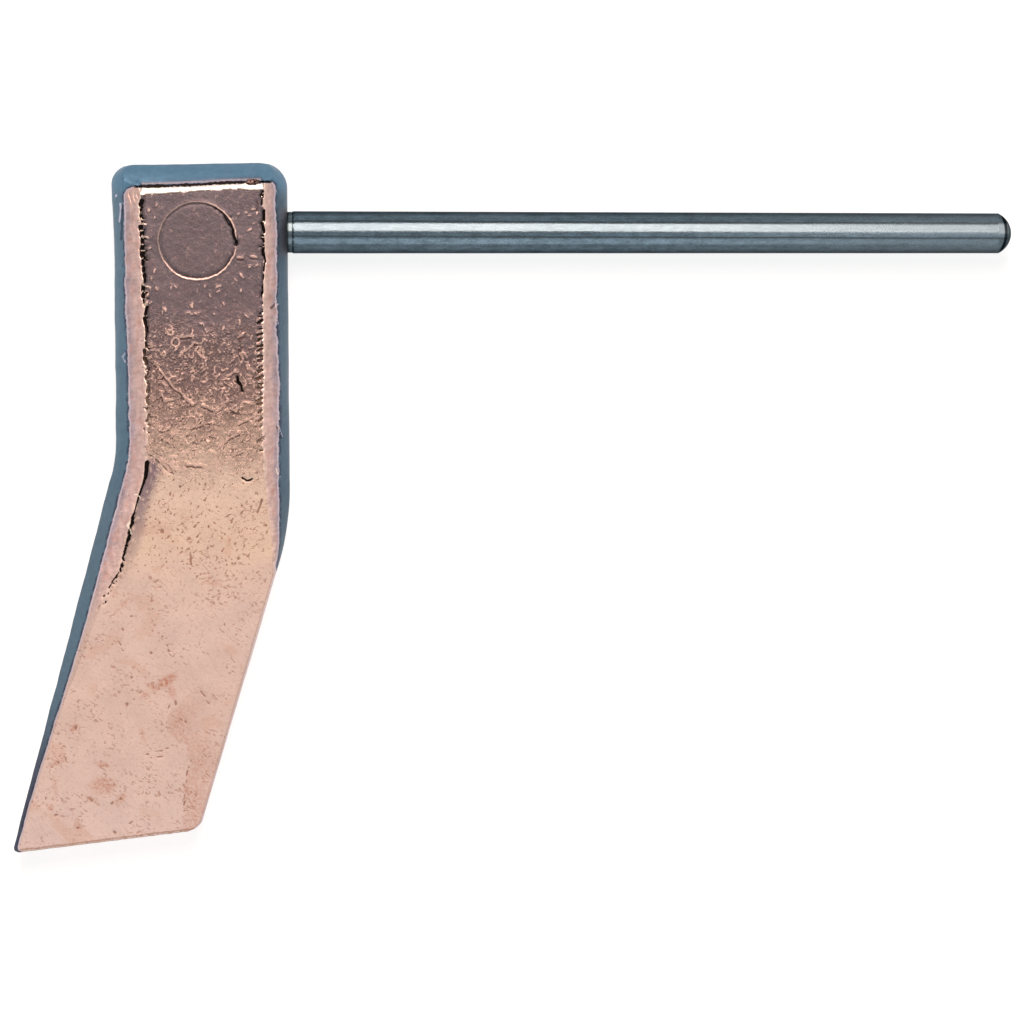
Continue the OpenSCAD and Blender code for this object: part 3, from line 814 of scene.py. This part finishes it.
# Painted shade: a dark line just outside the lilac line, and a darker strip above the crack at the top
groove_shade = copper.step(rim, -0.55, -0.2) * copper.spots(0.34, 0.56, 1.3, detail=3)
slate = copper.mix(groove_shade * 0.75, slate, tone(58, 58, 76))
shade_over_crack = copper.step(over_top, -1.6, -0.4) * copper.step(over_top, 0.4, 0.2) * between
slate = copper.mix(shade_over_crack * 0.9, slate, tone(66, 74, 86))
# Painted reflection of the dark stem on the shoulder beside it
stem_reflection = copper.step(abs(height), 5.5, 3.5) * copper.step(run_x, -2, -0.8)
slate = copper.mix(stem_reflection * 0.6, slate, tone(112, 102, 106))
slate = copper.shade(slate, (copper.speckle(1.2, detail=5, rough=0.6) - 0.5) * 0.4 + 1)
scored = copper.step(copper.kept("sunk") + jag * 0.25, 0.36, 0.6)
slate = copper.mix(scored * 0.7, slate, tone(48, 50, 66))
skin = copper.mix(on_shoulder, skin, slate)
pink_line = copper.step(abs(over_top + 0.5 + jag * 0.3), 0.28, 0.1) * between
skin = copper.mix(pink_line * 0.55, skin, tone(118, 104, 108))
# The crack above the top bevel is painted black as shade from end to end, with a knot near its right end
knot = copper.step(abs(run_x + 6.6), 1.4, 0.5)
top_width = (copper.speckle(1.5) - 0.4) * 0.3 + knot * 0.3
top_crack = copper.step(abs(over_top + jag * 0.5 - 0.04) - top_width, 0.28, 0.14)
top_crack = top_crack * copper.step(run_x, -29.2, -28.4) * copper.step(run_x, -2.4, -3.4)
knotted = copper.mix(knot * copper.step(jag, 0, 0.08) * 0.6, CRACK_BLACK, tone(124, 98, 90))
skin = copper.mix(top_crack, skin, knotted)
black = black.most(top_crack)
hairs = copper.mix(copper.step(height, -44, -41), HAIR, tone(204, 176, 160))
hairs = copper.mix(on_shoulder, hairs, tone(186, 182, 198))
skin = copper.mix(copper.step(copper.kept("hair") + jag * 0.3, 0.46, 0.6) * 0.85, skin, hairs)
copper.feed(copper.shader.inputs["Base Color"], skin)
dull = copper.step(height, -20, -60, 0.2) + 0.34 + (fine - 0.5) * 0.3
copper.feed(copper.shader.inputs["Roughness"], dull + on_shoulder * 0.05)
copper.shader.inputs["Metallic"].default_value = 1.0
skin_height = fine * 0.02 + copper.speckle(1, detail=4, rough=0.6) * 0.05 * on_straight
skin_height = skin_height + crest * wrinkled * 0.06 + dots.most(big_dots) * on_blade * -0.03
bump = copper.node("ShaderNodeBump", {"Strength": 1, "Distance": MM, "Height": skin_height - black * 0.1})
copper.feed(copper.shader.inputs["Normal"], bump)
head.data.materials.append(copper.made)

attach(head, "root")
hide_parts("copper_head")


# The stem is drawn steel rod, turned down and threaded at one end to screw into the bit, with
# a domed free end. A short turned neck shows as a dark dotted line beside the bit.
STEM_R, STEM_L, DOME_R = 4.0, 136.28, 4.5
NECK_W, NECK_R = 1.0, 3.86
# The neck's side: how far in it starts, and how far along it runs
NECK_STEP_R, NECK_STEP_W = 0.07, 0.12
SPIGOT_L, THREAD_R, THREAD_DEPTH, PITCH = 18.0, 3.84, 0.62, 1.25
# The thread's tapered start
LEAD_L, LEAD_DEPTH = 1.2, 0.9
STEM_SIDES, DOME_RINGS, THREAD_CUTS, ROD_CUTS = 96, 14, 95, 90
# The drawing left slow waves, and the rod is a hair finer and lower towards its free end
ROD_WAVE, ROD_TAPER, ROOT_DROP, END_DROP = 0.006, 0.06, 0.05, 0.2
bpy.ops.object.select_all(action="DESELECT")
dome_x = STEM_L - DOME_R
foot_x = dome_x + math.sqrt(DOME_R ** 2 - STEM_R ** 2)
bpy.ops.mesh.primitive_cylinder_add(vertices=STEM_SIDES, radius=STEM_R * MM, depth=(foot_x - NECK_W) * MM,
                                    location=((foot_x + NECK_W) / 2 * MM, 0, 0), rotation=(0, math.pi / 2, 0))
stem = bpy.context.object
stem.name = stem.data.name = "drawn_stem"
bpy.ops.object.transform_apply(location=True, rotation=True, scale=True)
bpy.ops.object.mode_set(mode="EDIT")
bpy.ops.mesh.select_mode(type="FACE")


def pick_face(mesh, place):
    """Selects the end face whose middle lies at this place along the stem."""
    rod = bmesh.from_edit_mesh(mesh)
    for face in rod.faces:
        face.select_set(abs(face.calc_center_median().x - place) < 1e-6 and abs(face.normal.x) > 0.99)
    bmesh.update_edit_mesh(mesh)


def draw_out(mesh, profile, at_x, at_r):
    """Extrudes the selected end through stations of place and radius."""
    for x, r in profile:
        bpy.ops.mesh.extrude_region_move(TRANSFORM_OT_translate={"value": ((x - at_x) * MM, 0, 0)})
        bpy.ops.transform.resize(value=(1, r / at_r, r / at_r))
        at_x, at_r = x, r


pick_face(stem.data, foot_x * MM)
dome = []
for step in range(1, DOME_RINGS + 1):
    lift = math.asin(STEM_R / DOME_R) * (1 - step / (DOME_RINGS + 1))
    dome.append((dome_x + DOME_R * math.cos(lift), DOME_R * math.sin(lift)))
draw_out(stem.data, dome, foot_x, STEM_R)
pick_face(stem.data, NECK_W * MM)
draw_out(stem.data, [(NECK_W, STEM_R - NECK_STEP_R), (NECK_W - NECK_STEP_W, NECK_R), (0, NECK_R),
                     (0, THREAD_R), (LEAD_L - SPIGOT_L, THREAD_R),
                     (-SPIGOT_L, THREAD_R - LEAD_DEPTH)], NECK_W, STEM_R)
# Even cuts along the threaded part, for the thread's flanks
bpy.ops.mesh.select_mode(type="EDGE")
bpy.ops.mesh.select_all(action="DESELECT")
rod = bmesh.from_edit_mesh(stem.data)
for edge in rod.edges:
    a, b = sorted(v.co.x / MM for v in edge.verts)
    edge.select_set(abs(a - (LEAD_L - SPIGOT_L)) < 1e-3 and abs(b) < 1e-3)
bpy.ops.mesh.subdivide(number_cuts=THREAD_CUTS)
bpy.ops.mesh.select_all(action="DESELECT")
# And along the rod, so that its drawn surface can run a little uneven
rod = bmesh.from_edit_mesh(stem.data)
for edge in rod.edges:
    a, b = sorted(v.co.x / MM for v in edge.verts)
    edge.select_set(abs(a - NECK_W) < 1e-3 and abs(b - foot_x) < 1e-3)
bpy.ops.mesh.subdivide(number_cuts=ROD_CUTS)
bpy.ops.object.mode_set(mode="OBJECT")
points = np.empty(len(stem.data.vertices) * 3, np.float32)
stem.data.vertices.foreach_get("co", points)
px, py, pz = (points.reshape(-1, 3).astype(float) / MM).T
turn, radius = np.arctan2(pz, py), np.hypot(py, pz)
flank = np.abs((px / PITCH + turn / (2 * math.pi)) % 1 - 0.5) * 2
threaded = (px < -0.05) & (px > LEAD_L - SPIGOT_L - 0.05)
radius = np.where(threaded, THREAD_R - THREAD_DEPTH * (1 - flank), radius)
on_rod = (px > NECK_W + 0.5) & (px < foot_x - 0.5)
radius = np.where(on_rod, radius + ROD_WAVE * grain(px, turn * 4, 9, 90), radius)
along_rod = np.clip(px / STEM_L, 0, 1)
radius = np.where(px > NECK_W - 0.05, radius * (1 - ROD_TAPER * along_rod), radius)
py, pz = radius * np.cos(turn) - ROOT_DROP - END_DROP * along_rod, radius * np.sin(turn)
points = np.stack([px, py, pz], 1) * MM
stem.data.vertices.foreach_set("co", points.astype(np.float32).ravel())
bpy.ops.object.select_all(action="DESELECT")
stem.select_set(True)
bpy.context.view_layer.objects.active = stem
bpy.ops.object.shade_smooth_by_angle(angle=math.radians(20))

steel = Finish("drawn_steel")
run, side = steel.axis("X"), steel.axis("Y")
lines = steel.speckle(0.2, detail=3, rough=0.6, stretch=(12, 1, 1))
specks = steel.speckle(0.3, detail=4, rough=0.75)
blotches = steel.speckle(1.2, detail=4, rough=0.7, stretch=(2, 1, 1))
upper = steel.step(steel.axis("Z"), 0, 1)
# A warm tint is painted along the upper side where the lamp's highlight runs; the free end is worn lighter
# and rougher
highlight_tint = steel.step(abs(side - 0.85 + run * 0.0014), 1.1, 0.7) * upper
worn = steel.step(run, 60, 130)
metal = steel.mix(steel.speckle(12, detail=3, stretch=(2, 1, 1)), tone(74, 89, 99), tone(88, 102, 111))
metal = steel.shade(metal, (lines - 0.5) * 0.5 + (specks - 0.5) * (1.5 - highlight_tint * 0.9) +
                    (blotches - 0.5) * (1.4 - highlight_tint * 0.9) + 1.0)
metal = steel.mix(worn * 0.25, metal, tone(116, 123, 127))
warm = steel.node("ShaderNodeVectorMath", {0: metal, 1: (1.05, 0.94, 0.86)}, operation="MULTIPLY")
metal = steel.mix(highlight_tint * (1 - worn * 0.5), metal, warm)
# A painted highlight below the lamp's highlight, towards the free end
highlight_tail = steel.step(abs(side + 0.38), 0.8, 0.4) * steel.step(run, 35, 105) * upper
metal = steel.shade(metal, highlight_tail * 0.5 + 1)
# Dark lines painted along the rod above and below the highlight, as reflections of dark surroundings
wander = (steel.speckle(3, stretch=(6, 1, 1)) - 0.5) * 0.3
dark_reflection = steel.step(abs(side + wander + run * 0.0035 - 2), 0.32, 0.12) * 0.6
low_dark_reflection = steel.step(abs(side + wander + run * 0.003 + 0.85), 0.26, 0.1) * 0.45
dark_reflection = dark_reflection.most(low_dark_reflection) * upper * steel.step(blotches, 0.3, 0.45)
metal = steel.mix(dark_reflection, metal, tone(40, 45, 44))
# The domed end: a painted highlight on its shoulder, and a dark line painted as reflection that bows round
# inside its rim
past_edge = run + (specks - 0.5) * 0.2 - STEM_L
glint = steel.step(past_edge, -2.48, -2.38) * steel.step(abs(side - 0.6), 1.3, 0.6) * upper
metal = steel.mix(glint * 0.9, metal, tone(178, 186, 190))
bow = past_edge + side * side * 0.076 + 0.95
metal = steel.mix(steel.step(abs(bow), 0.4, 0.18) * 0.9, metal, tone(14, 24, 30))
metal = steel.mix(steel.step(bow, 0.3, 0.45) * 0.8, metal, tone(84, 96, 102))
necked = steel.step(run, 1.05, 0.9)
metal = steel.mix(necked * steel.step(specks, 0.4, 0.62) * 0.8, metal, tone(92, 100, 100))
root_dots = steel.step(abs(run - 1.1), 0.3, 0.1) * steel.spots(0.44, 0.52, 0.45, detail=1)
metal = steel.mix(root_dots * 0.8, metal, tone(24, 30, 32))
# Painted shade where the rod meets the bit
root_shade = steel.step(run + (specks - 0.5) * 0.3, 0.3, 0.12)
metal = steel.mix(root_shade * 0.85, metal, tone(30, 34, 32))
# Painted shade: the rod goes dark towards its outline, by how far its face turns from the eye
turned = steel.node("ShaderNodeLayerWeight", {"Blend": 0.5}, out="Facing")
metal = steel.shade(metal, steel.step(turned, 0.2, 0.55) * -0.36 + 1)
steel.feed(steel.shader.inputs["Base Color"], metal)
steel.feed(steel.shader.inputs["Roughness"], (specks - 0.5) * 0.2 + worn * 0.16 + 0.14)
steel.shader.inputs["Metallic"].default_value = 1.0
steel.shader.inputs["Specular Tint"].default_value = (0.4, 0.4, 0.4, 1)
steel_bump = steel.node("ShaderNodeBump", {"Strength": 1, "Distance": MM,
                                           "Height": lines * 0.008 + specks * 0.012 + blotches * 0.01})
steel.feed(steel.shader.inputs["Normal"], steel_bump)
stem.data.materials.append(steel.made)

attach(stem, "root")
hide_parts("stem")


# The bench under the tool: plain pale board, wide enough to reach the horizon.
BENCH_Z, BENCH_GAP, BENCH_SIZE = -HEAD_T / 2 * MM, 0.0003, 12
bpy.ops.object.select_all(action="DESELECT")
bpy.ops.mesh.primitive_plane_add(size=BENCH_SIZE, location=(0, 0, BENCH_Z - BENCH_GAP))
bench = bpy.context.object
bench.name = "bench"
bpy.ops.object.transform_apply(location=True, rotation=True, scale=True)
board = Finish("pale_board")
board.shader.inputs["Base Color"].default_value = (0.6, 0.6, 0.6, 1)
board.shader.inputs["Roughness"].default_value = 0.9
BOARD_GLOW = 0.78


def eyes_and_mirrors(finish):
    """1 for rays that the camera, a shiny surface or glass sends out, 0 for stray light."""
    seen = finish.node("ShaderNodeLightPath", out="Is Camera Ray")
    for name in ("Is Glossy Ray", "Is Transmission Ray"):
        seen = seen.most(finish.node("ShaderNodeLightPath", out=name))
    return seen


board.feed(board.shader.inputs["Emission Color"], board.shade((1, 1, 1), eyes_and_mirrors(board)))
board.shader.inputs["Emission Strength"].default_value = BOARD_GLOW
bench.data.materials.append(board.made)

# Soft studio light: a big box above the tool's back edge, a weaker one before it, and the room.
LAMP_AT = 1.2


def soft_box(name, tilt, wide, deep, glow, colour=(1, 1, 1)):
    """A lamp over the middle of the tool, tilted from straight above towards the back."""
    place = (0.03, LAMP_AT * math.sin(tilt), LAMP_AT * math.cos(tilt))
    bpy.ops.object.light_add(type="AREA", location=place, rotation=(-tilt, 0, 0))
    lamp = bpy.context.object
    lamp.name = name
    lamp.data.shape = "RECTANGLE"
    lamp.data.size, lamp.data.size_y = wide, deep
    lamp.data.energy = glow * math.pi * wide * deep
    lamp.data.color = colour
    lamp.visible_camera = False


soft_box("back_box", math.radians(29.5), 0.34, 0.95, 8.2, (1, 0.85, 0.78))
soft_box("front_box", math.radians(-51), 0.34, 0.7, 1.1)
ROOM_LIGHT = 0.2
room = Finish("room", "worlds", "Background")
room.shader.inputs["Color"].default_value = (1, 1, 1, 1)
room.feed(room.shader.inputs["Strength"], eyes_and_mirrors(room) * (1 - ROOM_LIGHT) + ROOM_LIGHT)
bpy.context.scene.world = room.made

# The camera looks straight down on the tool from far off, as a long lens does.
IMAGE_PX = 1024
CAMERA_UP, CAMERA_SIGHT = 5.0, 30
SENSOR_MM = 36
view_w = IMAGE_PX / PX_PER_MM * MM
centre_x = (IMAGE_PX / 2 - STEM_ROOT_PX[0]) / PX_PER_MM * MM
centre_y = (STEM_ROOT_PX[1] - IMAGE_PX / 2) / PX_PER_MM * MM
bpy.ops.object.camera_add(location=(centre_x, centre_y, CAMERA_UP), rotation=(0, 0, 0))
camera = bpy.context.object
camera.data.sensor_width = SENSOR_MM
camera.data.lens = SENSOR_MM * CAMERA_UP / view_w
camera.data.clip_end = CAMERA_SIGHT
bpy.context.scene.camera = camera

bpy.context.scene.view_settings.view_transform = "Standard"
